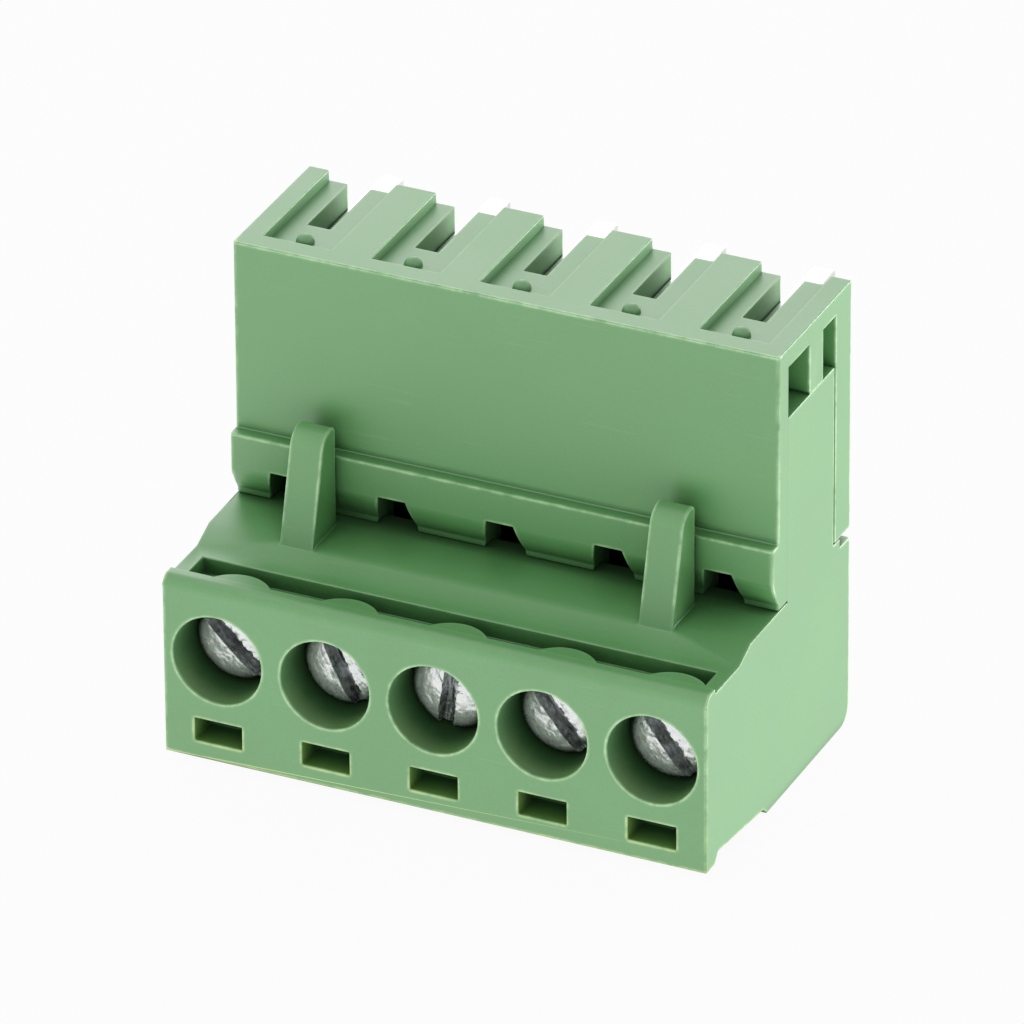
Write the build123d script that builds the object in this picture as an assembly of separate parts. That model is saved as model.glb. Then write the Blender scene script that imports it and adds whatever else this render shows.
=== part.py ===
from build123d import *
import os

# Pluggable terminal block: a five-pole screw plug with a right-angle pin header pushed onto it.
# Widths (x) run along the row of poles from its middle, depths (y) run back from the plug's screw face, and
# heights (z) run up from its underside. Every solid is moved at the end so that the origin lies under the
# middle of the whole block.

# Row of poles
poles = 5
pitch = 5.08

# Screws and their bores
screw_height = 5.38
bore_radius = 2.09
bore_depth = 3.2
shoulder_thickness = 1.0
head_radius = 1.92
head_thickness = 1.5
head_dome = 0.42
slot_width = 0.75
slot_depth = 0.8
thread_radius = 1.45
tip_chamfer = 0.3
seat_gap = 0.03
shank_clearance = 0.15
slot_angles = (-44, -65, 81, -52, -53)

# Rising cages
cage_height = 4.2
cage_nut_wall = 1.8            # tapped wall nearest the screw head
cage_wire_gap = 3.1            # free gap behind the contact strip with the cage fully open
cage_back_wall = 0.7
cage_side_wall = 0.35
cage_corner = 0.25
cage_travel = 3.0
cage_shut_gap = 0.13           # left between the shoulder and the cage at the end of its travel
thread_clearance = 0.05
cage_clearance = 0.08
cage_stop = 0.07               # between the open cage and the strip in front, and the cavity behind

# Contacts
strip_thickness = 0.6
strip_width = 2.72
strip_foot = 1.3
tine_thickness = 0.38
tine_reach = 2.5
tine_bow = 0.22                # how far the tines stand off the pin at their roots
tine_mouth = 1.1               # height of the flared mouth
tine_touch = 0.3               # height of the flat that touches the pin
fork_wall_foot = 1.2           # lower edge of the fork's side walls above the cage room
fork_wall_height = 2.0
contact_gap = 0.03             # between a tine and the pin
contact_clearance = 0.06

# Plug housing, outside
nose_height = 18.15
nose_front_wall = 0.82
nose_back_wall = 0.98
nose_roof = 1.25               # above the fork, with the pin's entry through it
bore_cover = 0.47              # wall between a bore and the groove over it
step_depth = 0.8               # from the groove's back wall to the ramp up to the ledge
ramp_run = 1.2
ramp_rise = 0.51
back_ledge_drop = 0.21         # shelf behind the nose, below the one in front
back_strip_depth = 0.67        # raised strip of that shelf, next to the nose
lip_rise = 0.24                # thin lip along the front edge
lip_thickness = 0.9
lip_round = 0.55
foot_lip_height = 0.42         # underside of the front edge above the bench
foot_recess_height = 0.88      # hollow behind it
foot_step_height = 0.36
foot_lip_slope = 0.3
foot_step_slope = 0.4
foot_depth = 6.3               # where the flat rear foot starts
rear_round = 0.9

# Marking groove in the front step
groove_end_wall = 0.7
groove_front = 1.15
groove_width = 1.45
groove_depth = 0.8
boss_radius = 1.67             # rounded swellings of the groove's front wall, one for each pole
boss_offset = 0.65
boss_reach = 0.8

# Finger lugs, which stand up in front of the header
lug_spacing = 16.8
lug_width = 1.56
lug_height = 4.85
lug_foot = 2.35                # depth where it meets the ledge
lug_lean = 1.27
lug_sink = 0.5                 # how far its root runs into the housing
lug_round = 0.95               # of the top's front edge
lug_back_round = 0.3
lug_gap = 0.15                 # between the lug and the header's rim

# Inspection windows under the screws
window_width = 2.24
window_height = 1.11
window_floor = 1.24
window_depth = 1.1
window_step = 0.45

# Slots through the nose's front wall behind the notches of the header's rim, for coding pieces
slot_sink = 0.9                # floor of the slot below the ledge

# Header housing
header_lift = 0.05             # gap left between the header and the ledge or strip that it sits on
header_front_wall = 0.92
header_back_wall = 1.62
header_back_rise = 0.23        # the back wall ends this much higher than the front one
header_roof = 0.95
header_gap = 0.04              # running gap in front of the nose
header_back_gap = 0.1          # and behind it
rim_height = 3.2
rim_thickness = 0.62
rim_tuck = 0.85                # how far the rim's lower edge curves in
rim_curve_height = 1.6         # where that curve starts
rim_notch_height = 1.63        # above the header's lower end
rim_notch_half = 0.63          # half width at the top
rim_notch_flare = 0.33         # how much wider each side is at the bottom
web_height = 2.3
web_thickness = 1.46
web_before_pin = 0.9           # from the web's front face to the middle of the pins
web_gap = 0.1                  # between the web and the top of the nose
block_width = 2.8

# Top of the header
recess_width = 3.2
recess_depth = 0.52
recess_front_strip = 1.06
pip_radius = 0.41
pip_offset = -0.1
pip_setback = 0.99             # from the recess's front wall

# Pins
pin_size = 1.0
pin_offset = -0.17             # contacts stand slightly to the left of the screws
pin_behind_strip = 1.7         # from the contact strip to the middle of the upright leg
pin_top_below = 1.65           # top of the pin below the top of the header
pin_engagement = 6.85          # length inside the plug's nose
pin_tail = 3.6                 # length beyond the header's back
pin_bend = 0.8
pin_point = 0.22
pin_fit = 0.05
entry_funnel = 0.35

# How far a cutting shape stands out of the wall that it cuts
overcut = 0.2

# Depths, from the screw face back
width = poles * pitch
pole_x = [(i - (poles - 1) / 2) * pitch for i in range(poles)]
cavity_front = bore_depth + shoulder_thickness
cage_front = cavity_front + cage_shut_gap + cage_travel
cage_inner_front = cage_front + cage_nut_wall
strip_depth = cage_inner_front + cage_stop
strip_back = strip_depth + strip_thickness
cage_inner_back = strip_back + cage_wire_gap
cage_back = cage_inner_back + cage_back_wall
cavity_back = cage_back + cage_stop
fork_back = strip_back + tine_reach
pin_depth = strip_back + pin_behind_strip
nose_front = strip_depth - nose_front_wall
nose_back = fork_back + nose_back_wall
header_inner_front = nose_front - header_gap
header_front = header_inner_front - header_front_wall
header_inner_back = nose_back + header_back_gap
plug_depth = header_inner_back + header_back_wall
rim_front = header_front - rim_thickness
web_front = pin_depth - web_before_pin
lug_back = rim_front - lug_gap
groove_back = groove_front + groove_width
front_step_depth = groove_back + step_depth
depth = plug_depth + pin_tail

# Heights, from the underside up
cage_bottom = screw_height - cage_height / 2
cavity_floor = cage_bottom - cage_clearance
cavity_roof = screw_height + cage_height / 2 + cage_clearance
front_step_height = screw_height + bore_radius + bore_cover + groove_depth
lip_height = front_step_height + lip_rise
ledge_height = front_step_height + ramp_rise
back_ledge_height = ledge_height - back_ledge_drop
header_bottom = ledge_height + header_lift
header_back_bottom = header_bottom + header_back_rise
back_strip_height = header_back_bottom - header_lift
notch_top = header_bottom + rim_notch_height
fork_wall_bottom = cavity_roof + fork_wall_foot
fork_wall_top = fork_wall_bottom + fork_wall_height
fork_top = nose_height - nose_roof
web_bottom = nose_height + web_gap
roof_underside = web_bottom + web_height
header_top = roof_underside + header_roof
recess_floor = header_top - recess_depth
pin_top = header_top - pin_top_below
pin_bottom = pin_top - pin_size
pin_tip_height = nose_height - pin_engagement

# Half widths in one pole
cage_inner_half = thread_radius + thread_clearance
cage_half = cage_inner_half + cage_side_wall
cavity_half = cage_half + cage_clearance
channel_half = pin_size / 2 + contact_gap + tine_bow + tine_thickness
notch_foot_half = rim_notch_half + rim_notch_flare


def slab(x0, x1, y0, y1, z0, z1):
    """Straight-sided block between the given planes."""
    return Pos((x0 + x1) / 2, (y0 + y1) / 2, (z0 + z1) / 2) * Box(x1 - x0, y1 - y0, z1 - z0)


def side_profile(points, x0, x1):
    """Outline in depth and height, drawn out along the row from x0 to x1."""
    face = make_face(Plane.YZ * Polyline(*points, close=True))
    return Pos(x0, 0, 0) * extrude(face, x1 - x0, dir=(1, 0, 0))


def front_profile(points, y0, y1):
    """Outline in width and height, drawn back from y0 to y1."""
    face = make_face(Polyline(*[(x, y0, z) for x, z in points], close=True))
    return extrude(face, y1 - y0, dir=(0, 1, 0))


def rod(radius, y0, y1, x=0.0, z=screw_height):
    """Round bar along the depth."""
    return Pos(x, (y0 + y1) / 2, z) * Rot(90, 0, 0) * Cylinder(radius, y1 - y0)


def edges_near(solid, y, z, tolerance=0.02):
    """Edges that run along the row through the given depth and height."""
    return [e for e in solid.edges().filter_by(Axis.X)
            if abs(e.center().Y - y) < tolerance and abs(e.center().Z - z) < tolerance]


# Plug housing: one green moulding with a low front body, a nose and two finger lugs

def lug(x):
    """Leaning thumb lug with a rounded top."""
    foot = ledge_height - lug_sink
    top = ledge_height + lug_height
    foot_front = lug_back - lug_foot
    head_front = foot_front + lug_lean
    body = side_profile([(foot_front - lug_lean * lug_sink / lug_height, foot), (head_front, top),
                         (lug_back, top), (lug_back, foot)],
                        x - lug_width / 2, x + lug_width / 2)
    body = fillet(edges_near(body, head_front, top), lug_round)
    return fillet(edges_near(body, lug_back, top), lug_back_round)


def contact_chamber(x):
    """Room for the contact's fork in the nose, with the square entry for the pin."""
    middle = x + pin_offset
    half = channel_half + contact_clearance
    room = slab(middle - half, middle + half, strip_depth - contact_clearance, fork_back + contact_clearance,
                cavity_roof - 0.1, fork_top + contact_clearance)
    hole = pin_size + 2 * contact_clearance
    entry = Pos(middle, pin_depth, (fork_top + nose_height) / 2) * Box(hole, hole, nose_height - fork_top)
    mouth = Plane.XY.offset(nose_height - entry_funnel)
    wide = hole + 2 * entry_funnel
    funnel = loft([mouth * Pos(middle, pin_depth) * Rectangle(hole, hole),
                   mouth.offset(entry_funnel) * Pos(middle, pin_depth) * Rectangle(wide, wide)])
    return room + entry + funnel


def clamp_chamber(x):
    """Screw bore, cage room and wire opening of one pole."""
    bore = rod(bore_radius, 0, bore_depth, x)
    shank_hole = rod(thread_radius + shank_clearance, 0, cavity_front, x)
    room = slab(x - cavity_half, x + cavity_half, cavity_front, cavity_back, cavity_floor, cavity_roof)
    opening = slab(x - cavity_half, x + cavity_half, cage_front - cage_stop, cavity_back, 0, cavity_floor)
    return bore + shank_hole + room + opening


def inspection_window(x):
    """Shallow stepped window below the screw."""
    half = window_width / 2
    upper = slab(x - half, x + half, 0, window_depth, window_floor, window_floor + window_height)
    inner = slab(x - half, x + half, window_depth, window_depth + window_step, window_floor,
                 window_floor + window_height / 2)
    return upper + inner


def coding_slot(x):
    """Slot through the nose's front wall into the contact's room, sunk below the ledge."""
    floor = ledge_height - slot_sink
    front = nose_front - overcut
    return side_profile([(nose_front, floor), (nose_front, ledge_height), (front, ledge_height),
                         (front, notch_top), (strip_depth, notch_top), (strip_depth, floor)],
                        x - notch_foot_half, x + notch_foot_half)


def marking_groove():
    """Groove along the front step, with a rounded swelling of its front wall at each pole."""
    half = width / 2 - groove_end_wall
    floor = front_step_height - groove_depth
    groove = slab(-half, half, groove_front, groove_back, floor, lip_height)
    centre_y = groove_front + boss_reach - boss_radius
    for x in pole_x:
        boss = Pos(x + boss_offset, centre_y, floor) * Cylinder(boss_radius, lip_height - floor,
                                                               align=(Align.CENTER, Align.CENTER, Align.MIN))
        groove -= boss
    return groove


def plug_housing():
    ramp_end = front_step_depth + ramp_run
    strip_end = nose_back + back_strip_depth
    body = side_profile([
        (0, foot_lip_height), (0, lip_height), (lip_thickness, lip_height), (lip_thickness, front_step_height),
        (front_step_depth, front_step_height), (ramp_end, ledge_height), (nose_front, ledge_height),
        (nose_front, nose_height), (nose_back, nose_height), (nose_back, back_strip_height),
        (strip_end, back_strip_height), (strip_end, back_ledge_height), (plug_depth, back_ledge_height),
        (plug_depth, 0), (foot_depth, 0), (foot_depth - foot_step_slope, foot_step_height),
        (lip_thickness + foot_lip_slope, foot_recess_height), (lip_thickness, foot_lip_height)],
        -width / 2, width / 2)
    body = fillet(edges_near(body, 0, lip_height), lip_round)
    body = fillet(edges_near(body, plug_depth, 0), rear_round)
    for side in (-1, 1):
        body += lug(side * lug_spacing / 2)
    body -= marking_groove()
    for x in pole_x:
        body -= clamp_chamber(x)
        body -= contact_chamber(x)
        body -= coding_slot(x)
        body -= inspection_window(x)
    return body


# Header housing: one green moulding, open at both ends and below, which carries the bent pins

def rim_notch(x):
    """Flared notch in the lower edge of the front wall."""
    outline = [(x - notch_foot_half, header_bottom), (x - rim_notch_half, notch_top),
               (x + rim_notch_half, notch_top), (x + notch_foot_half, header_bottom)]
    return front_profile(outline, rim_front - overcut, header_inner_front + overcut)


def pin_notch(x):
    """Slot in the roof and back wall for the pin's level leg, with a square hole down through the web."""
    middle = x + pin_offset
    half = pin_size / 2 + pin_fit
    slot = slab(middle - half, middle + half, pin_depth - half, plug_depth, pin_bottom - pin_fit, recess_floor)
    hole = slab(middle - half, middle + half, pin_depth - half, pin_depth + half, web_bottom, pin_bottom)
    return slot + hole


def header_housing():
    body = side_profile([
        (header_front, header_top), (plug_depth, header_top), (plug_depth, header_back_bottom),
        (header_inner_back, header_back_bottom), (header_inner_back, roof_underside),
        (header_inner_front, roof_underside), (header_inner_front, header_bottom),
        (header_front, header_bottom)], -width / 2, width / 2)
    rim_top = header_bottom + rim_height
    curve_top = (rim_front, header_bottom + rim_curve_height)
    curve_middle = (rim_front + 0.4 * rim_tuck, header_bottom + 0.46 * rim_curve_height)
    curve_foot = (rim_front + rim_tuck, header_bottom)
    rim_face = make_face(Plane.YZ * (
        Polyline((header_inner_front, header_bottom), (header_inner_front, rim_top), (rim_front, rim_top),
                 curve_top)
        + ThreePointArc(curve_top, curve_middle, curve_foot)
        + Line(curve_foot, (header_inner_front, header_bottom))))
    body += Pos(-width / 2, 0, 0) * extrude(rim_face, width, dir=(1, 0, 0))
    body += slab(-width / 2, width / 2, web_front, web_front + web_thickness, web_bottom, roof_underside)
    for x in pole_x:
        middle = x + pin_offset
        body += slab(middle - block_width / 2, middle + block_width / 2, web_front, header_inner_back,
                     web_bottom, roof_underside)
    for x in pole_x:
        body -= slab(x - recess_width / 2, x + recess_width / 2, header_front + recess_front_strip, plug_depth,
                     recess_floor, header_top)
        body -= pin_notch(x)
        body -= rim_notch(x)
        body += Pos(x + pip_offset, header_front + recess_front_strip + pip_setback, recess_floor) * (
            Sphere(pip_radius) - Pos(0, 0, -pip_radius) * Box(3 * pip_radius, 3 * pip_radius, 2 * pip_radius))
    return body


# Metal parts

def clamp_screw(x, slot_angle):
    """Cheese-head clamping screw, slotted, with a domed face; its fine thread is left plain here."""
    head_back = bore_depth - seat_gap
    head_front = head_back - head_thickness
    tip = strip_depth - 2 * cage_stop
    dome = [(head_radius * share, head_front + head_dome * share ** 2) for share in (0, 0.4, 0.7, 1)]
    shank = [(head_radius, head_back), (thread_radius, head_back), (thread_radius, tip - tip_chamfer),
             (thread_radius - tip_chamfer, tip), (0, tip)]
    body = revolve(make_face(Polyline(*dome, *shank, close=True)), axis=Axis.Y)
    slot = slab(-2 * head_radius, 2 * head_radius, head_front - slot_depth, head_front + slot_depth,
                -slot_width / 2, slot_width / 2)
    body -= Rot(0, -slot_angle, 0) * slot
    return Pos(x, 0, screw_height) * body


def wire_cage(x):
    """Rising box cage: a tapped wall in front, thin sides and a back wall that draws the wire forward."""
    top = cage_bottom + cage_height
    body = slab(x - cage_half, x + cage_half, cage_front, cage_back, cage_bottom, top)
    body = fillet(body.edges().filter_by(Axis.Z), cage_corner)
    body -= slab(x - cage_inner_half, x + cage_inner_half, cage_inner_front, cage_inner_back, cage_bottom, top)
    body -= rod(thread_radius + thread_clearance, cage_front, cage_inner_front, x)
    return body


def tine(middle, side):
    """Spring tine that bows in to the pin and flares out again at its mouth."""
    root = pin_size / 2 + contact_gap + tine_bow
    touch = pin_size / 2 + contact_gap
    touch_height = fork_top - tine_mouth
    inner = [(root, fork_wall_top), (touch, touch_height), (touch, touch_height + tine_touch),
             (root, fork_top)]
    outer = [(min(x + tine_thickness, channel_half), z) for x, z in reversed(inner)]
    points = [(middle + side * x, z) for x, z in inner + outer]
    return front_profile(points, strip_back, fork_back)


def spring_contact(x):
    """Folded contact: a flat strip for the wire below and a U-shaped fork for the pin above."""
    middle = x + pin_offset
    body = slab(x - strip_width / 2, x + strip_width / 2, strip_depth, strip_back, strip_foot, cavity_roof)
    body += slab(middle - channel_half, middle + channel_half, strip_depth, strip_back, cavity_roof, fork_top)
    for side in (-1, 1):
        inner = middle + side * (channel_half - tine_thickness)
        outer = middle + side * channel_half
        body += slab(min(inner, outer), max(inner, outer), strip_back, fork_back,
                     fork_wall_bottom, fork_wall_top)
        body += tine(middle, side)
    return body


def header_pin(x):
    """Square pin bent through a right angle, pointed at both ends."""
    middle = x + pin_offset
    half = pin_size / 2
    upright = slab(middle - half, middle + half, pin_depth - half, pin_depth + half, pin_tip_height, pin_top)
    level = slab(middle - half, middle + half, pin_depth - half, depth, pin_bottom, pin_top)
    body = upright + level
    body = fillet(edges_near(body, pin_depth - half, pin_top), pin_bend)
    tail_end = body.faces().sort_by(Axis.Y)[-1]
    body = chamfer(tail_end.edges(), pin_point)
    plug_end = body.faces().sort_by(Axis.Z)[0]
    return chamfer(plug_end.edges(), pin_point)


os.makedirs("parts", exist_ok=True)
pieces = {"plug_housing": plug_housing(), "header_housing": header_housing()}
for number, x in enumerate(pole_x, start=1):
    pieces[f"clamp_screw_{number}"] = clamp_screw(x, slot_angles[(number - 1) % len(slot_angles)])
    pieces[f"wire_cage_{number}"] = wire_cage(x)
    pieces[f"spring_contact_{number}"] = spring_contact(x)
    pieces[f"header_pin_{number}"] = header_pin(x)
for name, solid in pieces.items():
    export_step(Pos(0, -depth / 2, 0) * solid, f"parts/{name}.step")
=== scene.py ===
import math

import bpy
from mathutils import Matrix, Vector


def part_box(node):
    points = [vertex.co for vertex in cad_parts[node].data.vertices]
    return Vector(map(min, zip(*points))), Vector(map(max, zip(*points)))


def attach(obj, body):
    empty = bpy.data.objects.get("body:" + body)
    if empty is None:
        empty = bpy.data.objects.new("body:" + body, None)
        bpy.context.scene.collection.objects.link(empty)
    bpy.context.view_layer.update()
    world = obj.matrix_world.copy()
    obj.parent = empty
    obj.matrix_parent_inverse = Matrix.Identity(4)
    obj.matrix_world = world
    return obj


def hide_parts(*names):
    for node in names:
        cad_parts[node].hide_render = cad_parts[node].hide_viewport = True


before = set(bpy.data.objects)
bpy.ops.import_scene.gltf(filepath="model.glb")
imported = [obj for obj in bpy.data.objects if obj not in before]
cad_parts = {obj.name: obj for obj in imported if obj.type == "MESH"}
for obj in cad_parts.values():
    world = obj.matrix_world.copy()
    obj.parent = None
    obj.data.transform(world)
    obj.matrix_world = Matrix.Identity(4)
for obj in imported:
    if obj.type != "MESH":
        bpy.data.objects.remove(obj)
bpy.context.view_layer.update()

# Camera. The photograph was taken with a long lens from the front right and above, at about half a metre,
# so the row of poles runs down to the right and its verticals stay nearly parallel.

MM = 0.001
MIDDLE_DEPTH = 9.3                       # the origin lies this far behind the screw face, in millimetres
AZIMUTH, ELEVATION, ROLL = map(math.radians, (24.9820, 29.3348, -0.4115))
VIEW_TARGET = Vector((3.7739, -MIDDLE_DEPTH, 15.8911)) * MM
VIEW_DISTANCE = 0.541003
SENSOR_WIDTH, FOCAL_LENGTH = 36, 454.84

view_back = Vector((math.sin(AZIMUTH) * math.cos(ELEVATION), -math.cos(AZIMUTH) * math.cos(ELEVATION),
                    math.sin(ELEVATION)))
level = Vector((math.cos(AZIMUTH), math.sin(AZIMUTH), 0))
upward = view_back.cross(level)
view_right = level * math.cos(ROLL) + upward * math.sin(ROLL)
view_up = upward * math.cos(ROLL) - level * math.sin(ROLL)
bpy.ops.object.camera_add(location=VIEW_TARGET + view_back * VIEW_DISTANCE)
camera = bpy.context.object
camera.name = "camera"
camera.rotation_mode = "QUATERNION"
camera.rotation_quaternion = Matrix((view_right, view_up, view_back)).transposed().to_quaternion()
camera.data.sensor_width = SENSOR_WIDTH
camera.data.lens = FOCAL_LENGTH
bpy.context.scene.camera = camera


# Plug housing. One injection moulding in green glass-free polyamide, with screw bores, stepped windows, a
# marking groove and two thumb lugs. Every edge of the tool leaves a small round that catches the light.

NOSE_FRONT, NOSE_TOP = 8.38, 18.15       # depth of the nose's front wall behind the screw face, and its height
ROOF_FRONT = 7.44                        # depth of the header's front edge, where its roof starts
SCREW_HEIGHT = 5.38
WINDOW_TOP, BORE_BOTTOM = 2.9, 3.2
GROOVE_LOW, GROOVE_HIGH = 8.0, 10.3      # the marking groove and the shelf behind it, whose edges get no painted highlight
GROOVE_FRONT, GROOVE_BACK = 0.5, 8.5
FADE = 0.3

GREEN = (0.110, 0.335, 0.100)
GREEN_PALE = (0.124, 0.360, 0.114)
# The edge colour is a painted highlight and also the tone of scratches; the recess and crevice colours are
# painted shade.
GREEN_HIGHLIGHT_AND_SCRATCH = (0.520, 0.800, 0.440)
GREEN_GRAIN = (0.045, 0.150, 0.042)
GREEN_RECESS_SHADE = (0.022, 0.088, 0.018)
GREEN_CREVICE_SHADE = (0.040, 0.170, 0.045)
GREEN_GLOW = (0.170, 0.290, 0.035)       # light that comes through the thin lower edges
GREEN_GLOW_EDGE = (0.560, 0.720, 0.260)

SHARP_ANGLE = math.radians(30)           # edges under this are part of a curve
FLAT_ANGLE = math.radians(0.5)
MERGE = 1e-6
SMALL_ROUND, PLUG_END_ROUND = 0.06, 0.10
WIDE_SEGMENTS = 5
ON_END, UPRIGHT = 0.05, 0.99             # how near an edge is to an end face, and how steep
AT_SEAM = 0.1
SKY_RAYS = 8

plug_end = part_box("plug_housing")[1][0] / MM
header_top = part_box("header_housing")[1][2] / MM


def select_only(piece):
    """Everything else is deselected first, the loaded nodes too."""
    bpy.ops.object.select_all(action="DESELECT")
    piece.select_set(True)
    bpy.context.view_layer.objects.active = piece


def bevelled(piece, width, segments, **limit):
    """Applies a bevel; limit says which edges it takes."""
    bevel = piece.modifiers.new("edge_round", "BEVEL")
    bevel.width = width * MM
    bevel.segments = segments
    bevel.use_clamp_overlap = False
    for label, value in limit.items():
        setattr(bevel, label, value)
    bpy.ops.object.modifier_apply(modifier=bevel.name)


def edge_weights(piece, weight_of):
    """Gives each edge its share of the bevel, from its middle, its direction and its faces' angle."""
    corners = [vertex.co / MM for vertex in piece.data.vertices]
    facing = {}
    for polygon in piece.data.polygons:
        for key in polygon.edge_keys:
            facing.setdefault(key, []).append(polygon.normal)
    name = "bevel_weight_edge"
    weights = piece.data.attributes.get(name) or piece.data.attributes.new(name, "FLOAT", "EDGE")
    for edge in piece.data.edges:
        first, second = (corners[index] for index in edge.vertices)
        normals = facing[edge.key]
        angle = normals[0].angle(normals[1]) if len(normals) == 2 else 0
        weights.data[edge.index].value = weight_of((first + second) / 2, (second - first).normalized(), angle)


def rounded_copy(node, edge_round, segments=3, wide_round=None, is_wide=None, stays_sharp=None):
    """Copy of a solid node: its triangles merged into whole faces, and each sharp edge given a small round.

    is_wide(middle, direction) picks edges that first get the wide round, stays_sharp those that get none."""
    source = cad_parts[node]
    piece = bpy.data.objects.new(node + "_finished", source.data.copy())
    bpy.context.scene.collection.objects.link(piece)
    select_only(piece)
    bpy.ops.mesh.customdata_custom_splitnormals_clear()
    bpy.ops.object.mode_set(mode="EDIT")
    bpy.ops.mesh.select_all(action="SELECT")
    bpy.ops.mesh.remove_doubles(threshold=MERGE)
    bpy.ops.mesh.dissolve_limited(angle_limit=FLAT_ANGLE, delimit={"NORMAL"})
    bpy.ops.object.mode_set(mode="OBJECT")
    if is_wide:
        edge_weights(piece, lambda middle, direction, angle: is_wide(middle, direction))
        bevelled(piece, wide_round, WIDE_SEGMENTS, limit_method="WEIGHT")
    if stays_sharp:
        edge_weights(piece, lambda middle, direction, angle:
                     angle > SHARP_ANGLE and not stays_sharp(middle, direction))
        bevelled(piece, edge_round, segments, limit_method="WEIGHT")
    else:
        bevelled(piece, edge_round, segments, limit_method="ANGLE", angle_limit=SHARP_ANGLE)
    bpy.ops.object.shade_smooth_by_angle(angle=SHARP_ANGLE)
    weighted = piece.modifiers.new("flat_faces", "WEIGHTED_NORMAL")
    weighted.keep_sharp = True
    bpy.ops.object.modifier_apply(modifier=weighted.name)
    return piece


def finished(piece, node, body, material):
    """Puts the finished piece on its body in place of its node."""
    piece.data.materials.clear()
    piece.data.materials.append(material)
    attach(piece, body)
    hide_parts(node)


def fill(tree, socket, value):
    """Links a socket to another one, or sets its value."""
    if isinstance(value, bpy.types.NodeSocket):
        tree.links.new(value, socket)
    else:
        socket.default_value = value


def math_node(tree, operation, *values):
    """Math node whose inputs are sockets or plain numbers."""
    node = tree.nodes.new("ShaderNodeMath")
    node.operation = operation
    for socket, value in zip(node.inputs, values):
        fill(tree, socket, value)
    return node.outputs[0]


def product(tree, first, *others):
    """Two or more masks multiplied."""
    for other in others:
        first = math_node(tree, "MULTIPLY", first, other)
    return first


def remap(tree, value, low, high, to_low, to_high, shape="LINEAR"):
    """Map Range node, clamped."""
    node = tree.nodes.new("ShaderNodeMapRange")
    node.interpolation_type = shape
    for label, number in (("Value", value), ("From Min", low), ("From Max", high),
                          ("To Min", to_low), ("To Max", to_high)):
        fill(tree, node.inputs[label], number)
    return node.outputs["Result"]


def ramp(tree, distance, low, high, to_low, to_high):
    """Mask that changes between two distances given in millimetres."""
    return remap(tree, distance, low * MM, high * MM, to_low, to_high)


def object_place(tree):
    """Place on the piece, in metres."""
    return tree.nodes.new("ShaderNodeTexCoord").outputs["Object"]


def apart(tree, vector):
    """The vector's X, Y and Z."""
    node = tree.nodes.new("ShaderNodeSeparateXYZ")
    tree.links.new(vector, node.inputs[0])
    return node.outputs


def stretched(tree, vector, scale, angles=(0, 0, 0)):
    """The place turned and stretched, so that a noise on it draws strokes."""
    node = tree.nodes.new("ShaderNodeMapping")
    tree.links.new(vector, node.inputs["Vector"])
    node.inputs["Rotation"].default_value = angles
    node.inputs["Scale"].default_value = scale
    return node.outputs["Vector"]


def noise(tree, vector, scale, detail, roughness=0.5):
    """Noise Texture node, whose scale is a socket or a plain number."""
    node = tree.nodes.new("ShaderNodeTexNoise")
    tree.links.new(vector, node.inputs["Vector"])
    fill(tree, node.inputs["Scale"], scale)
    node.inputs["Detail"].default_value = detail
    node.inputs["Roughness"].default_value = roughness
    return node.outputs["Fac"]


def new_group(name, inputs, outputs):
    """Empty node group with number inputs at their usual values, and number outputs."""
    group = bpy.data.node_groups.new(name, "ShaderNodeTree")
    for label, value in inputs.items():
        socket = group.interface.new_socket(name=label, in_out="INPUT", socket_type="NodeSocketFloat")
        socket.default_value = value
    for label in outputs:
        group.interface.new_socket(name=label, in_out="OUTPUT", socket_type="NodeSocketFloat")
    return group, group.nodes.new("NodeGroupInput").outputs, group.nodes.new("NodeGroupOutput").inputs


# Fine surface of a moulding or a plated part: an even grain, larger soft unevenness and cloudy tone.
grain_group, given, result = new_group("surface_grain", {"Grain per mm": 8.0, "Waves per mm": 0.5},
                                       ("Height", "Waves", "Cloud"))
place = object_place(grain_group)
fine = noise(grain_group, place, product(grain_group, given["Grain per mm"], 1 / MM), 3.0, 0.6)
soft = noise(grain_group, place, product(grain_group, given["Waves per mm"], 1 / MM), 2.0)
grain_group.links.new(fine, result["Height"])
grain_group.links.new(soft, result["Waves"])
grain_group.links.new(noise(grain_group, place, 160, 3.0, 0.55), result["Cloud"])

# Outer edges lightened: a painted highlight where the rounds catch the light, partly also burrs, here more and
# there less.
edge_group, given, result = new_group("edge_highlight_and_burr", {"Reach mm": 0.12}, ("Edge",))
near = edge_group.nodes.new("ShaderNodeAmbientOcclusion")
near.inside = True
near.only_local = True
near.samples = SKY_RAYS
edge_group.links.new(product(edge_group, given["Reach mm"], MM), near.inputs["Distance"])
highlit_edge = math_node(edge_group, "SUBTRACT", 1.0, near.outputs["AO"])
broken = noise(edge_group, object_place(edge_group), 1300, 4.0, 0.65)
highlit_edge = product(edge_group, highlit_edge, remap(edge_group, broken, 0.32, 0.66, 0.35, 1.35))
edge_group.links.new(highlit_edge, result["Edge"])

# Depth of a recess, where the colour is darkened as painted shade.
recess_group, given, result = new_group("recess_painted_shade", {"Reach mm": 5.0, "Shallow": 0.55, "Deep": 0.12},
                                        ("Depth",))
open_sky = recess_group.nodes.new("ShaderNodeAmbientOcclusion")
open_sky.samples = SKY_RAYS
recess_group.links.new(product(recess_group, given["Reach mm"], MM), open_sky.inputs["Distance"])
below_sky = remap(recess_group, open_sky.outputs["AO"], given["Deep"], given["Shallow"], 1.0, 0.0, "SMOOTHSTEP")
recess_group.links.new(below_sky, result["Depth"])

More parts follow.
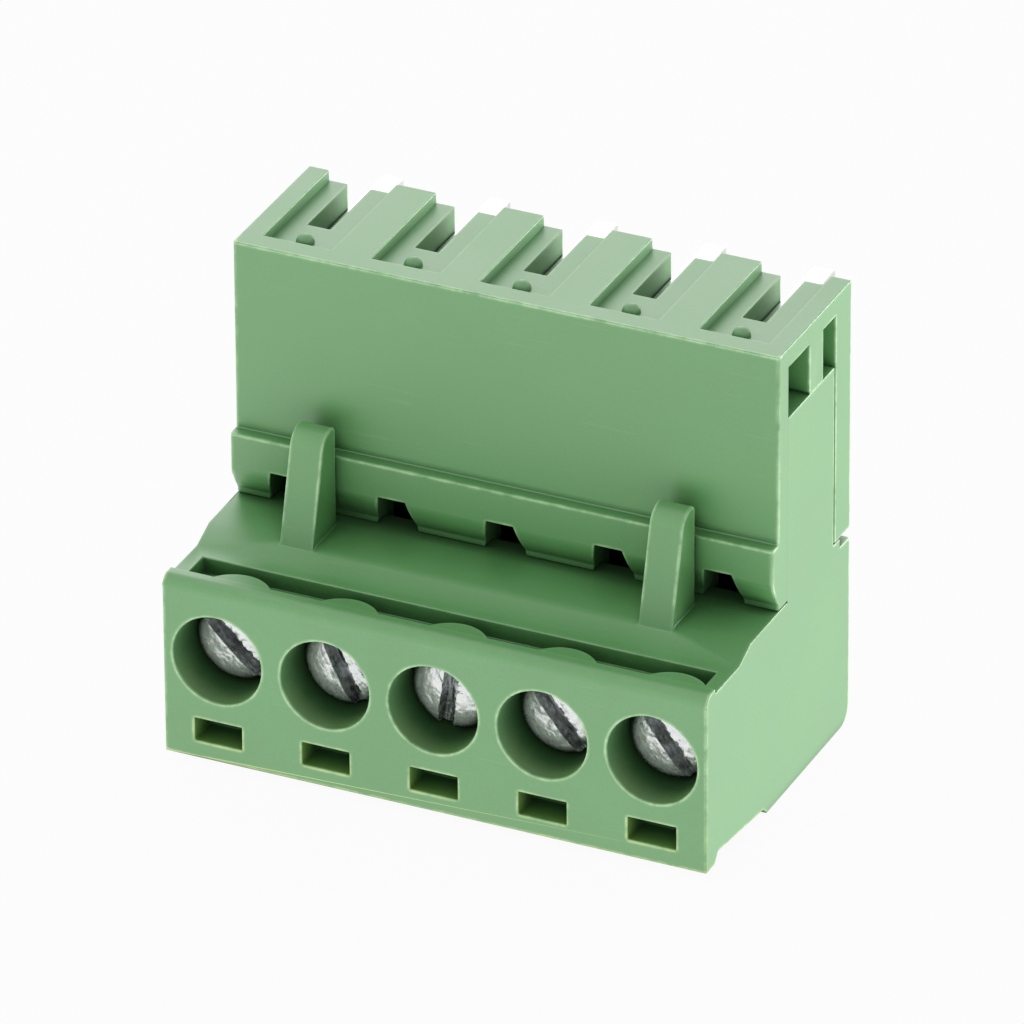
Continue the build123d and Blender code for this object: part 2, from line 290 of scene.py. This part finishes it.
# Hairline scratches from handling, in two directions, faint and broken.
scratch_group, given, result = new_group("hairlines", {"Amount": 0.5}, ("Scratch",))
place = object_place(scratch_group)
strokes = []
for angles, stretch, scale in (((0.5, 0.2, 0.4), (1, 24, 24), 330), ((-0.4, 0.7, 1.9), (1, 30, 30), 260)):
    line = noise(scratch_group, stretched(scratch_group, place, stretch, angles), scale, 0.0)
    strokes.append(remap(scratch_group, line, 0.79, 0.83, 0.0, 1.0))
both = math_node(scratch_group, "MAXIMUM", *strokes)
scratch_group.links.new(product(scratch_group, both, given["Amount"]), result["Scratch"])


def placed(tree, group, **values):
    """The group as a node, with its own values."""
    node = tree.nodes.new("ShaderNodeGroup")
    node.node_tree = group
    for label, value in values.items():
        node.inputs[label.replace("_", " ")].default_value = value
    return node


def tinted(tree, factor, first, second):
    """Mix of two colours by a mask; either colour may be a socket."""
    node = tree.nodes.new("ShaderNodeMix")
    node.data_type = "RGBA"
    fill(tree, node.inputs["Factor"], factor)
    for label, value in (("A", first), ("B", second)):
        socket = [s for s in node.inputs if s.name == label and s.type == "RGBA"][0]
        fill(tree, socket, value if isinstance(value, bpy.types.NodeSocket) else (*value, 1))
    return [s for s in node.outputs if s.type == "RGBA"][0]


def bumped(tree, height, distance, strength, normal=None):
    """Bump node whose distance is in millimetres, over another normal if there is one."""
    node = tree.nodes.new("ShaderNodeBump")
    node.inputs["Strength"].default_value = strength
    node.inputs["Distance"].default_value = distance * MM
    tree.links.new(height, node.inputs["Height"])
    if normal is not None:
        tree.links.new(normal, node.inputs["Normal"])
    return node.outputs["Normal"]


def new_material(name):
    """Material with its node tree and its shader."""
    material = bpy.data.materials.new(name)
    material.use_nodes = True
    return material, material.node_tree, material.node_tree.nodes["Principled BSDF"]


green_polyamide, tree, shader = new_material("green_polyamide")
surface = placed(tree, grain_group, Grain_per_mm=9.0, Waves_per_mm=0.45)
edges = placed(tree, edge_group, Reach_mm=0.18)
hairlines = placed(tree, scratch_group, Amount=0.045)
recess = placed(tree, recess_group, Reach_mm=5.0, Shallow=0.54, Deep=0.18)
crevice = placed(tree, recess_group, Reach_mm=0.9, Shallow=0.80, Deep=0.50)
side, behind, height = apart(tree, object_place(tree))
behind_face = math_node(tree, "ADD", behind, MIDDLE_DEPTH * MM)

# Painted shade: recesses and inner corners are darkened in the colour, but less so near the roof and in the
# windows under the bores.
depth = product(tree, recess.outputs["Depth"],
                ramp(tree, height, header_top - 5.0, header_top - 2.5, 1.0, 0.12),
                ramp(tree, height, WINDOW_TOP, BORE_BOTTOM, 0.72, 1.0))
inner_corner = product(tree, crevice.outputs["Depth"], 0.7)
tone = tinted(tree, remap(tree, surface.outputs["Cloud"], 0.3, 0.7, 0.0, 1.0), GREEN, GREEN_PALE)
tone = tinted(tree, remap(tree, surface.outputs["Height"], 0.35, 0.65, 0.0, 0.10), tone, GREEN_GRAIN)
tone = tinted(tree, hairlines.outputs["Scratch"], tone, GREEN_HIGHLIGHT_AND_SCRATCH)
tone = tinted(tree, inner_corner, tone, GREEN_CREVICE_SHADE)
tone = tinted(tree, depth, tone, GREEN_RECESS_SHADE)

# Light glows through the plastic just inside the bores and windows, low down.
glow = product(tree, ramp(tree, behind_face, 0.1, 1.3, 0.6, 0.0),
               remap(tree, recess.outputs["Depth"], 0.02, 0.25, 0.0, 1.0),
               ramp(tree, height, SCREW_HEIGHT - 1.4, SCREW_HEIGHT - 0.2, 1.0, 0.0))
tone = tinted(tree, glow, tone, GREEN_GLOW)

# Outer edges get a painted highlight, partly also burrs, apart from the seams between the housings at the ends,
# the ribs on the roof, the marking groove's shelf, the top of the nose, and edges that lie deep in a recess.
# Low down the edges take the glow's olive.
off_nose = math_node(tree, "ABSOLUTE", math_node(tree, "SUBTRACT", behind_face, NOSE_FRONT * MM))
off_end = math_node(tree, "SUBTRACT", plug_end * MM, math_node(tree, "ABSOLUTE", side))
off_seam = ramp(tree, math_node(tree, "MAXIMUM", off_nose, off_end), 0.12, 0.20, 0.0, 1.0)
on_roof = product(tree, ramp(tree, height, header_top - 0.75, header_top - 0.60, 0.0, 0.75),
                  ramp(tree, behind_face, ROOF_FRONT + 0.2, ROOF_FRONT + 0.4, 0.0, 1.0))
off_nose_top = math_node(tree, "ABSOLUTE", math_node(tree, "SUBTRACT", height, NOSE_TOP * MM))
without_highlight = product(tree, ramp(tree, height, GROOVE_LOW, GROOVE_LOW + FADE, 0.0, 0.75),
                    ramp(tree, height, GROOVE_HIGH - FADE, GROOVE_HIGH, 1.0, 0.0),
                    ramp(tree, behind_face, GROOVE_FRONT, GROOVE_FRONT + FADE, 0.0, 1.0),
                    ramp(tree, behind_face, GROOVE_BACK - FADE, GROOVE_BACK, 1.0, 0.0))
without_highlight = math_node(tree, "MAXIMUM", without_highlight, ramp(tree, off_nose_top, 0.12, 0.20, 0.7, 0.0))
painted_edge_highlight = product(tree, remap(tree, edges.outputs["Edge"], 0.06, 0.36, 0.0, 0.92),
                    math_node(tree, "SUBTRACT", 1.0, without_highlight),
                    math_node(tree, "SUBTRACT", 1.0, on_roof),
                    remap(tree, recess.outputs["Depth"], 0.15, 0.6, 1.0, 0.0),
                    remap(tree, inner_corner, 0.1, 0.5, 1.0, 0.2), off_seam)
edge_tone = tinted(tree, ramp(tree, height, 0.3, 4.5, 1.0, 0.0), GREEN_HIGHLIGHT_AND_SCRATCH, GREEN_GLOW_EDGE)
tree.links.new(tinted(tree, painted_edge_highlight, tone, edge_tone), shader.inputs["Base Color"])

tree.links.new(remap(tree, depth, 0.0, 0.8, 1.0, 0.0), shader.inputs["Coat Weight"])
rough = remap(tree, surface.outputs["Cloud"], 0.3, 0.7, 0.42, 0.52)
rough = math_node(tree, "ADD", rough, product(tree, recess.outputs["Depth"], 0.4))
tree.links.new(rough, shader.inputs["Roughness"])
shader.inputs["IOR"].default_value = 1.53
shader.inputs["Coat Roughness"].default_value = 0.44
shader.inputs["Coat IOR"].default_value = 1.72
normal = bumped(tree, surface.outputs["Waves"], 0.012, 0.5)
tree.links.new(bumped(tree, surface.outputs["Height"], 0.004, 0.6, normal), shader.inputs["Normal"])


def plug_upright(middle, direction):
    """The front uprights at both ends."""
    return (abs(middle.x) > plug_end - ON_END and abs(direction.z) > UPRIGHT
            and middle.y + MIDDLE_DEPTH < AT_SEAM)


def at_seam(middle, direction):
    """The uprights where the nose and the header's front wall meet at the ends."""
    return (abs(middle.x) > plug_end - ON_END and abs(direction.z) > UPRIGHT
            and abs(middle.y + MIDDLE_DEPTH - NOSE_FRONT) < AT_SEAM)


plug = rounded_copy("plug_housing", SMALL_ROUND, wide_round=PLUG_END_ROUND, is_wide=plug_upright,
                    stays_sharp=at_seam)
finished(plug, "plug_housing", "plug", green_polyamide)


# Spring contacts. Each is stamped and folded from tinned copper alloy: a flat strip that the wire is drawn
# against, and a fork of two bowed tines in the nose that grips the header pin.

# The edge colour is a painted highlight and the recess colour painted shade.
TIN, TIN_PALE, TIN_EDGE_HIGHLIGHT = (0.62, 0.62, 0.60), (0.74, 0.74, 0.73), (0.86, 0.86, 0.85)
TIN_RECESS_SHADE = (0.03, 0.03, 0.03)
CONTACT_ROUND = 0.05


def metal_gloss(tree, surface, hairlines, smooth, dull, scratched):
    """Roughness that drifts over the metal and rises in its scratches."""
    drift = remap(tree, surface.outputs["Waves"], 0.3, 0.7, smooth, dull)
    return math_node(tree, "ADD", drift, product(tree, hairlines.outputs["Scratch"], scratched))


tinned_alloy, tree, shader = new_material("tinned_alloy")
surface = placed(tree, grain_group, Grain_per_mm=14.0, Waves_per_mm=1.1)
edges = placed(tree, edge_group, Reach_mm=0.08)
hairlines = placed(tree, scratch_group, Amount=0.5)
recess = placed(tree, recess_group, Reach_mm=5.0, Shallow=0.45, Deep=0.12)
tone = tinted(tree, remap(tree, surface.outputs["Cloud"], 0.35, 0.65, 0.0, 1.0), TIN, TIN_PALE)
# Painted highlight along the edges.
tone = tinted(tree, remap(tree, edges.outputs["Edge"], 0.2, 0.8, 0.0, 0.5), tone, TIN_EDGE_HIGHLIGHT)
# Painted shade deep in recesses.
tone = tinted(tree, recess.outputs["Depth"], tone, TIN_RECESS_SHADE)
tree.links.new(tone, shader.inputs["Base Color"])
shader.inputs["Metallic"].default_value = 1.0
tree.links.new(metal_gloss(tree, surface, hairlines, 0.26, 0.38, 0.2), shader.inputs["Roughness"])
tree.links.new(bumped(tree, surface.outputs["Height"], 0.004, 0.5), shader.inputs["Normal"])

for number in range(1, 6):
    node = f"spring_contact_{number}"
    finished(rounded_copy(node, CONTACT_ROUND, 2), node, "plug", tinned_alloy)


# Wire cages. Each is a box formed from nickel-plated steel, tapped M3 in its thick front wall, which the
# screw draws forward so that its back wall presses the wire against the contact strip.

NICKEL, NICKEL_PALE, NICKEL_EDGE_HIGHLIGHT = (0.52, 0.50, 0.46), (0.62, 0.60, 0.56), (0.80, 0.79, 0.76)
CAGE_ROUND = 0.10

plated_steel, tree, shader = new_material("plated_steel")
surface = placed(tree, grain_group, Grain_per_mm=7.0, Waves_per_mm=0.8)
edges = placed(tree, edge_group, Reach_mm=0.12)
hairlines = placed(tree, scratch_group, Amount=0.6)
tone = tinted(tree, remap(tree, surface.outputs["Cloud"], 0.35, 0.65, 0.0, 1.0), NICKEL, NICKEL_PALE)
# Painted highlight along the edges.
tone = tinted(tree, remap(tree, edges.outputs["Edge"], 0.2, 0.8, 0.0, 0.6), tone, NICKEL_EDGE_HIGHLIGHT)
tree.links.new(tone, shader.inputs["Base Color"])
shader.inputs["Metallic"].default_value = 1.0
tree.links.new(metal_gloss(tree, surface, hairlines, 0.30, 0.45, 0.2), shader.inputs["Roughness"])
tree.links.new(bumped(tree, surface.outputs["Height"], 0.006, 0.6), shader.inputs["Normal"])

for number in range(1, 6):
    node = f"wire_cage_{number}"
    finished(rounded_copy(node, CAGE_ROUND, 2), node, f"cage_{number}", plated_steel)


# Clamp screws. M3 cheese heads with a domed face, turned and thread-rolled in steel and zinc-plated. The
# slots are sawn and have been used, so their lips are burred, each one differently.

PITCH = 5.08
HEAD_RADIUS = 1.92
HEAD_FRONT, RIM_DEPTH, HEAD_BACK = 1.67, 2.09, 3.17
DOME_RINGS = (0.08, 0.16, 0.25, 0.34, 0.43, 0.52, 0.61, 0.70, 0.79, 0.87, 0.93)
DOME_POWER = 4.5                         # nearly flat in the middle, falling away at the rim
SHANK_RADIUS, THREAD_ROOT, SCREW_TIP = 1.45, 1.20, 9.06
ROUND_POINTS = 96
SLOT_WIDTH, SLOT_DEPTH, SAW_LENGTH = 0.75, 0.8, 5
SLOT_ANGLES = (-44, -65, 81, -52, -53)
BURR_ROWS = (0.03, 0.09, 0.18, 0.30)     # rows of points beside the slot, for the burrs
BURR_STEP, BURR_STEPS = 0.15, 12
BURR_REACH, BURR_SIZE, BURR_HEIGHT = 0.3, 0.28, 0.26
LIP_DEPTH, RIM_KEPT = 0.5, 0.1
SLOT_SHIFT = 7.0                         # moves the saw marks on from screw to screw
THREAD_PITCH = 0.5
THREAD_START, THREAD_SHORT = 0.35, 0.9   # gap behind the head, and both ends' bare length together
TURN_STEPS = 32
FACET_ANGLE = math.radians(32)

# The edge colour is a painted highlight, the recess colour painted shade, and the slot's dark tone painted
# shade with saw marks.
ZINC, ZINC_PALE, ZINC_EDGE_HIGHLIGHT = (0.86, 0.89, 0.90), (1.00, 1.00, 0.99), (0.97, 0.97, 0.96)
ZINC_STAIN, ZINC_RECESS_SHADE = (0.16, 0.15, 0.13), (0.05, 0.05, 0.05)
SLOT_SHADE_DARK, SLOT_PALE = (0.045, 0.047, 0.047), (0.72, 0.76, 0.77)

zinc_plate, tree, shader = new_material("zinc_plate")
surface = placed(tree, grain_group, Grain_per_mm=6.0, Waves_per_mm=1.6)
edges = placed(tree, edge_group, Reach_mm=0.10)
hairlines = placed(tree, scratch_group, Amount=0.6)
recess = placed(tree, recess_group, Reach_mm=1.2, Shallow=0.60, Deep=0.15)

# Saw marks along the slot over a painted shade that darkens it, from the place that each screw keeps across and
# along its own slot.
slot_place = tree.nodes.new("ShaderNodeAttribute")
slot_place.attribute_name = "slot_place"
across_slot = math_node(tree, "ABSOLUTE", apart(tree, slot_place.outputs["Vector"])["X"])
in_slot = remap(tree, across_slot, SLOT_WIDTH / 2 - 0.02, SLOT_WIDTH / 2 + 0.03, 1.0, 0.0)
saw_marks = noise(tree, stretched(tree, slot_place.outputs["Vector"], (9.0, 0.6, 0.0)), 1.0, 3.0, 0.6)
slot_shade_and_saw_marks = tinted(tree, remap(tree, saw_marks, 0.36, 0.58, 0.0, 1.0), SLOT_SHADE_DARK, SLOT_PALE)

# Turning marks round each screw's axis.
side, behind, height = apart(tree, object_place(tree))
from_axis = tree.nodes.new("ShaderNodeCombineXYZ")
tree.links.new(math_node(tree, "WRAP", side, PITCH * MM / 2, -PITCH * MM / 2), from_axis.inputs["X"])
tree.links.new(math_node(tree, "SUBTRACT", height, SCREW_HEIGHT * MM), from_axis.inputs["Y"])
radius = tree.nodes.new("ShaderNodeVectorMath")
radius.operation = "LENGTH"
tree.links.new(from_axis.outputs[0], radius.inputs[0])
rings = tree.nodes.new("ShaderNodeTexNoise")
rings.noise_dimensions = "1D"
tree.links.new(radius.outputs["Value"], rings.inputs["W"])
rings.inputs["Scale"].default_value = 9000
rings.inputs["Detail"].default_value = 2.0

tone = tinted(tree, remap(tree, surface.outputs["Waves"], 0.35, 0.65, 0.0, 1.0), ZINC, ZINC_PALE)
tone = tinted(tree, remap(tree, surface.outputs["Height"], 0.60, 0.70, 0.0, 0.6), tone, ZINC_STAIN)
# Painted shade in the recesses.
tone = tinted(tree, recess.outputs["Depth"], tone, ZINC_RECESS_SHADE)
tone = tinted(tree, in_slot, tone, slot_shade_and_saw_marks)
# Painted highlight along the edges.
tone = tinted(tree, remap(tree, edges.outputs["Edge"], 0.25, 0.7, 0.0, 0.8), tone, ZINC_EDGE_HIGHLIGHT)
tree.links.new(tone, shader.inputs["Base Color"])
shader.inputs["Metallic"].default_value = 0.68
tree.links.new(metal_gloss(tree, surface, hairlines, 0.22, 0.36, 0.15), shader.inputs["Roughness"])
normal = bumped(tree, rings.outputs["Fac"], 0.006, 0.35)
normal = bumped(tree, surface.outputs["Waves"], 0.16, 0.85, normal)
normal = bumped(tree, surface.outputs["Height"], 0.030, 0.6, normal)
tree.links.new(bumped(tree, saw_marks, 0.03, 0.5, normal), shader.inputs["Normal"])


def turned_head_and_shank(number, x):
    """Screw turned ring by ring from its face back to its tip."""
    dome = [(HEAD_RADIUS * share, HEAD_FRONT + (RIM_DEPTH - HEAD_FRONT) * share ** DOME_POWER)
            for share in DOME_RINGS]
    profile = dome + [(HEAD_RADIUS - 0.05, RIM_DEPTH - 0.02), (HEAD_RADIUS - 0.01, RIM_DEPTH + 0.04),
                      (HEAD_RADIUS, RIM_DEPTH + 0.12), (HEAD_RADIUS, HEAD_BACK - 0.06),
                      (HEAD_RADIUS - 0.06, HEAD_BACK), (THREAD_ROOT + 0.12, HEAD_BACK),
                      (THREAD_ROOT, HEAD_BACK + 0.15), (THREAD_ROOT, SCREW_TIP - 0.25),
                      (THREAD_ROOT - 0.25, SCREW_TIP)]
    first_radius, first_depth = profile[0]
    centre = Vector((x, 0, SCREW_HEIGHT)) * MM
    bpy.ops.mesh.primitive_circle_add(vertices=ROUND_POINTS, radius=first_radius * MM,
                                      location=(centre.x, (first_depth - MIDDLE_DEPTH) * MM, centre.z),
                                      rotation=(math.pi / 2, 0, 0))
    screw = bpy.context.object
    screw.name = f"clamp_screw_{number}_finished"
    bpy.ops.object.transform_apply(location=True, rotation=True, scale=True)
    bpy.ops.object.mode_set(mode="EDIT")
    bpy.ops.mesh.select_all(action="SELECT")
    for (before, front), (after, back) in zip(profile, profile[1:]):
        bpy.ops.mesh.extrude_region_move(TRANSFORM_OT_translate={"value": (0, (back - front) * MM, 0)})
        bpy.ops.transform.resize(value=(after / before, 1, after / before), center_override=centre)
    bpy.ops.mesh.edge_face_add()
    bpy.ops.mesh.select_all(action="DESELECT")
    bpy.ops.mesh.select_non_manifold()
    bpy.ops.mesh.edge_face_add()
    bpy.ops.mesh.poke()
    bpy.ops.mesh.select_all(action="SELECT")
    bpy.ops.mesh.normals_make_consistent(inside=False)
    bpy.ops.object.mode_set(mode="OBJECT")
    return screw


def sawn_slot(screw, x, angle):
    """Cuts the driver slot across the head, and returns its direction."""
    turned = math.radians(angle)
    face_middle = (x * MM, (HEAD_FRONT - MIDDLE_DEPTH) * MM, SCREW_HEIGHT * MM)
    bpy.ops.mesh.primitive_cube_add(size=1, location=face_middle, rotation=(0, -turned, 0))
    saw = bpy.context.object
    saw.scale = (SAW_LENGTH * MM, 2 * SLOT_DEPTH * MM, SLOT_WIDTH * MM)
    bpy.ops.object.transform_apply(location=True, rotation=True, scale=True)
    bpy.ops.object.mode_set(mode="EDIT")
    bpy.ops.mesh.select_all(action="SELECT")
    bpy.ops.mesh.subdivide(number_cuts=5)
    bpy.ops.object.mode_set(mode="OBJECT")
    select_only(screw)
    cut = screw.modifiers.new("slot", "BOOLEAN")
    cut.operation = "DIFFERENCE"
    cut.solver = "EXACT"
    cut.object = saw
    bpy.ops.object.modifier_apply(modifier=cut.name)
    bpy.data.objects.remove(saw)
    return Vector((math.cos(turned), 0, math.sin(turned)))


def scored(point, normal):
    """Cuts a row of points through the piece that is being edited."""
    bpy.ops.mesh.select_all(action="SELECT")
    bpy.ops.mesh.bisect(plane_co=point, plane_no=normal)


def burred_lips(screw, x, along, number):
    """Adds rows of points beside the slot and pushes them about, as a slipping driver does."""
    centre = Vector((x, HEAD_FRONT - MIDDLE_DEPTH, SCREW_HEIGHT)) * MM
    across = Vector((-along.z, 0, along.x))
    bpy.ops.object.mode_set(mode="EDIT")
    for side_sign in (-1, 1):
        for away in BURR_ROWS:
            scored(centre + across * side_sign * (SLOT_WIDTH / 2 + away) * MM, across)
    for step in range(-BURR_STEPS, BURR_STEPS + 1):
        scored(centre + along * step * BURR_STEP * MM, along)
    bpy.ops.mesh.select_all(action="SELECT")
    bpy.ops.mesh.remove_doubles(threshold=2 * MERGE)
    bpy.ops.object.mode_set(mode="OBJECT")
    lips = screw.vertex_groups.new(name="lips")
    for vertex in screw.data.vertices:
        offset = vertex.co - centre
        beside = abs(offset.dot(across)) / MM - SLOT_WIDTH / 2
        on_face = offset.y < LIP_DEPTH * MM and offset.length < (HEAD_RADIUS - RIM_KEPT) * MM
        if on_face and -0.01 < beside < BURR_REACH + 0.05:
            lips.add([vertex.index], max(0.0, 1 - beside / BURR_REACH), "REPLACE")
    texture = bpy.data.textures.new(f"burr_{number}", "CLOUDS")
    texture.noise_scale = BURR_SIZE * MM
    texture.noise_depth = 2
    dents = screw.modifiers.new("burrs", "DISPLACE")
    dents.texture = texture
    dents.texture_coords = "LOCAL"
    dents.vertex_group = "lips"
    dents.strength = BURR_HEIGHT * MM
    dents.mid_level = 0.45
    bpy.ops.object.modifier_apply(modifier=dents.name)
    slot_place = screw.data.attributes.new("slot_place", "FLOAT_VECTOR", "POINT")
    for vertex in screw.data.vertices:
        offset = (vertex.co - centre) / MM
        slot_place.data[vertex.index].vector = (offset.dot(across),
                                                offset.dot(along) + SLOT_SHIFT * number, 0)


def rolled_thread(x):
    """M3 thread: one flank profile screwed along the shank, as a closed shell."""
    turns = (SCREW_TIP - HEAD_BACK - THREAD_SHORT) / THREAD_PITCH
    start = (HEAD_BACK + THREAD_START - MIDDLE_DEPTH) * MM
    bpy.ops.mesh.primitive_plane_add(size=1, location=(x * MM, start, SCREW_HEIGHT * MM))
    thread = bpy.context.object
    bpy.ops.object.mode_set(mode="EDIT")
    bpy.ops.mesh.delete(type="ONLY_FACE")
    bpy.ops.object.mode_set(mode="OBJECT")
    corners = [(THREAD_ROOT - 0.04, -0.22), (SHANK_RADIUS - 0.01, -0.04), (SHANK_RADIUS - 0.01, 0.04),
               (THREAD_ROOT - 0.04, 0.22)]
    ring = [thread.data.vertices[i] for i in (0, 1, 3, 2)]
    for vertex, (reach, depth) in zip(ring, corners):
        vertex.co = (reach * MM, depth * MM, 0)
    twist = thread.modifiers.new("helix", "SCREW")
    twist.axis = "Y"
    twist.angle = math.radians(360 * turns)
    twist.screw_offset = turns * THREAD_PITCH * MM
    twist.steps = twist.render_steps = round(TURN_STEPS * turns)
    twist.use_smooth_shade = False
    bpy.ops.object.modifier_apply(modifier=twist.name)
    bpy.ops.object.transform_apply(location=True, rotation=True, scale=True)
    bpy.ops.object.mode_set(mode="EDIT")
    bpy.ops.mesh.select_all(action="DESELECT")
    bpy.ops.mesh.select_non_manifold()
    bpy.ops.mesh.edge_face_add()
    bpy.ops.mesh.select_all(action="SELECT")
    bpy.ops.mesh.remove_doubles(threshold=MERGE)
    bpy.ops.mesh.normals_make_consistent(inside=False)
    bpy.ops.object.mode_set(mode="OBJECT")
    return thread


for number in range(1, 6):
    x = (number - 3) * PITCH
    screw = turned_head_and_shank(number, x)
    along = sawn_slot(screw, x, SLOT_ANGLES[number - 1])
    burred_lips(screw, x, along, number)
    thread = rolled_thread(x)
    select_only(screw)
    thread.select_set(True)
    bpy.ops.object.join()
    bpy.ops.object.shade_smooth_by_angle(angle=FACET_ANGLE)
    finished(screw, f"clamp_screw_{number}", f"screw_{number}", zinc_plate)


# Header housing. A second moulding in the same green, open at both ends, which slides over the nose. Its
# roof is relieved over each pole, with a small round pip where the mould's gate was trimmed.

HEADER_END_ROUND = 0.15
FRONT_EDGES, RIBS_START = 7.5, 7.6       # depths that part the front wall's edges from the ribs on the roof
ROOF_RECESS = 0.52
RUNNING_GAP, WEB_GAP = 0.04, 0.10        # how far the front wall and the web stand off the nose
SEAM_WIDTH = ON_FACE = 0.005
header_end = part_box("header_housing")[1][0] / MM


def header_upright(middle, direction):
    """The front uprights at both ends."""
    return (abs(middle.x) > header_end - ON_END and abs(direction.z) > UPRIGHT
            and middle.y + MIDDLE_DEPTH < FRONT_EDGES)


def header_sharp(middle, direction):
    """The seams with the nose, and the foot of each rib on the roof."""
    at_recess = abs(middle.z - header_top + ROOF_RECESS) < 0.05 and middle.y + MIDDLE_DEPTH > RIBS_START
    rib_foot = at_recess and abs(direction.z) < 0.1
    web_foot = abs(middle.z - NOSE_TOP - WEB_GAP) < 0.01 and abs(middle.x) > header_end - ON_END
    return at_seam(middle, direction) or rib_foot or web_foot


header = rounded_copy("header_housing", SMALL_ROUND, wide_round=HEADER_END_ROUND, is_wide=header_upright,
                      stays_sharp=header_sharp)
# Both gaps close to five microns here, because the real seams are too tight to be seen.
for vertex in header.data.vertices:
    if abs(vertex.co.y / MM + MIDDLE_DEPTH - NOSE_FRONT + RUNNING_GAP) < ON_FACE:
        vertex.co.y += (RUNNING_GAP - SEAM_WIDTH) * MM
    if abs(vertex.co.z / MM - NOSE_TOP - WEB_GAP) < ON_FACE:
        vertex.co.z -= (WEB_GAP - SEAM_WIDTH) * MM
finished(header, "header_housing", "header", green_polyamide)


# Header pins. Square tinned wire, bent once and pointed at both ends, pressed into the header's web. The
# tails lie level in the roof notches and stand out behind for the board.

for number in range(1, 6):
    node = f"header_pin_{number}"
    finished(rounded_copy(node, SMALL_ROUND, 2), node, "header", tinned_alloy)


# Floor, light and surroundings. A pale paper floor in a white light tent. A broad lamp stands on the left,
# weaker ones above and behind, and a low strip behind on the right lights that end.

FLOOR_WIDTH = 6
PAPER = (0.82, 0.82, 0.82)
WHITE = (1, 1, 1)
PAPER_LIGHT, TENT_LIGHT = 2.1, 0.52      # what they give off; the camera and reflections see plain white
LAMP_TARGET = Vector((0, 0, 0.01))


def seen_directly(tree):
    """1 where the camera, a reflection or glass looks, 0 where the surface only gives light."""
    ray = tree.nodes.new("ShaderNodeLightPath").outputs
    straight = math_node(tree, "MAXIMUM", ray["Is Camera Ray"], ray["Is Glossy Ray"])
    return math_node(tree, "MAXIMUM", straight, ray["Is Transmission Ray"])


def blended(tree, factor, first, second):
    """Two shaders mixed by a mask."""
    node = tree.nodes.new("ShaderNodeMixShader")
    for socket, source in zip(node.inputs, (factor, first, second)):
        tree.links.new(source, socket)
    return node.outputs[0]


bpy.ops.mesh.primitive_plane_add(size=FLOOR_WIDTH)
floor = bpy.context.object
floor.name = "floor"
paper = bpy.data.materials.new("pale_paper")
paper.use_nodes = True
tree = paper.node_tree
tree.nodes.clear()
matt = tree.nodes.new("ShaderNodeBsdfDiffuse")
matt.inputs["Color"].default_value = (*PAPER, 1)
white = tree.nodes.new("ShaderNodeEmission")
white.inputs["Color"].default_value = (*WHITE, 1)
direct = seen_directly(tree)
tree.links.new(remap(tree, direct, 0.0, 1.0, PAPER_LIGHT, 1.0), white.inputs["Strength"])
above = blended(tree, remap(tree, direct, 0.0, 1.0, 0.6, 0.94), matt.outputs[0], white.outputs[0])
from_below = tree.nodes.new("ShaderNodeNewGeometry").outputs["Backfacing"]
clear = tree.nodes.new("ShaderNodeBsdfTransparent")
output = tree.nodes.new("ShaderNodeOutputMaterial")
tree.links.new(blended(tree, from_below, above, clear.outputs[0]), output.inputs["Surface"])
floor.data.materials.append(paper)

world = bpy.data.worlds.new("light_tent")
bpy.context.scene.world = world
world.use_nodes = True
tree = world.node_tree
background = tree.nodes["Background"]
background.inputs["Color"].default_value = (*WHITE, 1)
tree.links.new(remap(tree, seen_directly(tree), 0.0, 1.0, TENT_LIGHT, 1.0), background.inputs["Strength"])


def softbox(name, location, size, watts, height=None):
    """Area lamp that faces the block, square unless it has a height of its own."""
    bpy.ops.object.light_add(type="AREA", location=location)
    lamp = bpy.context.object
    lamp.name = name
    lamp.data.size = size
    if height:
        lamp.data.shape = "RECTANGLE"
        lamp.data.size_y = height
    lamp.data.energy = watts
    lamp.rotation_mode = "QUATERNION"
    lamp.rotation_quaternion = (LAMP_TARGET - Vector(location)).to_track_quat("-Z", "Y")
    return lamp


left_light = softbox("left_light", (-0.65, -0.10, 0.30), 0.40, 1.3)
left_light.visible_glossy = False        # seen from the right, it would glare white on the roof
softbox("top_light", (-0.05, 0.05, 0.70), 0.40, 0.15)
softbox("back_light", (-0.30, 0.60, 0.36), 0.40, 0.75)
softbox("low_back_light", (0.50, 0.50, 0.05), 0.60, 3.5, 0.10)

bpy.context.scene.view_settings.view_transform = "Standard"
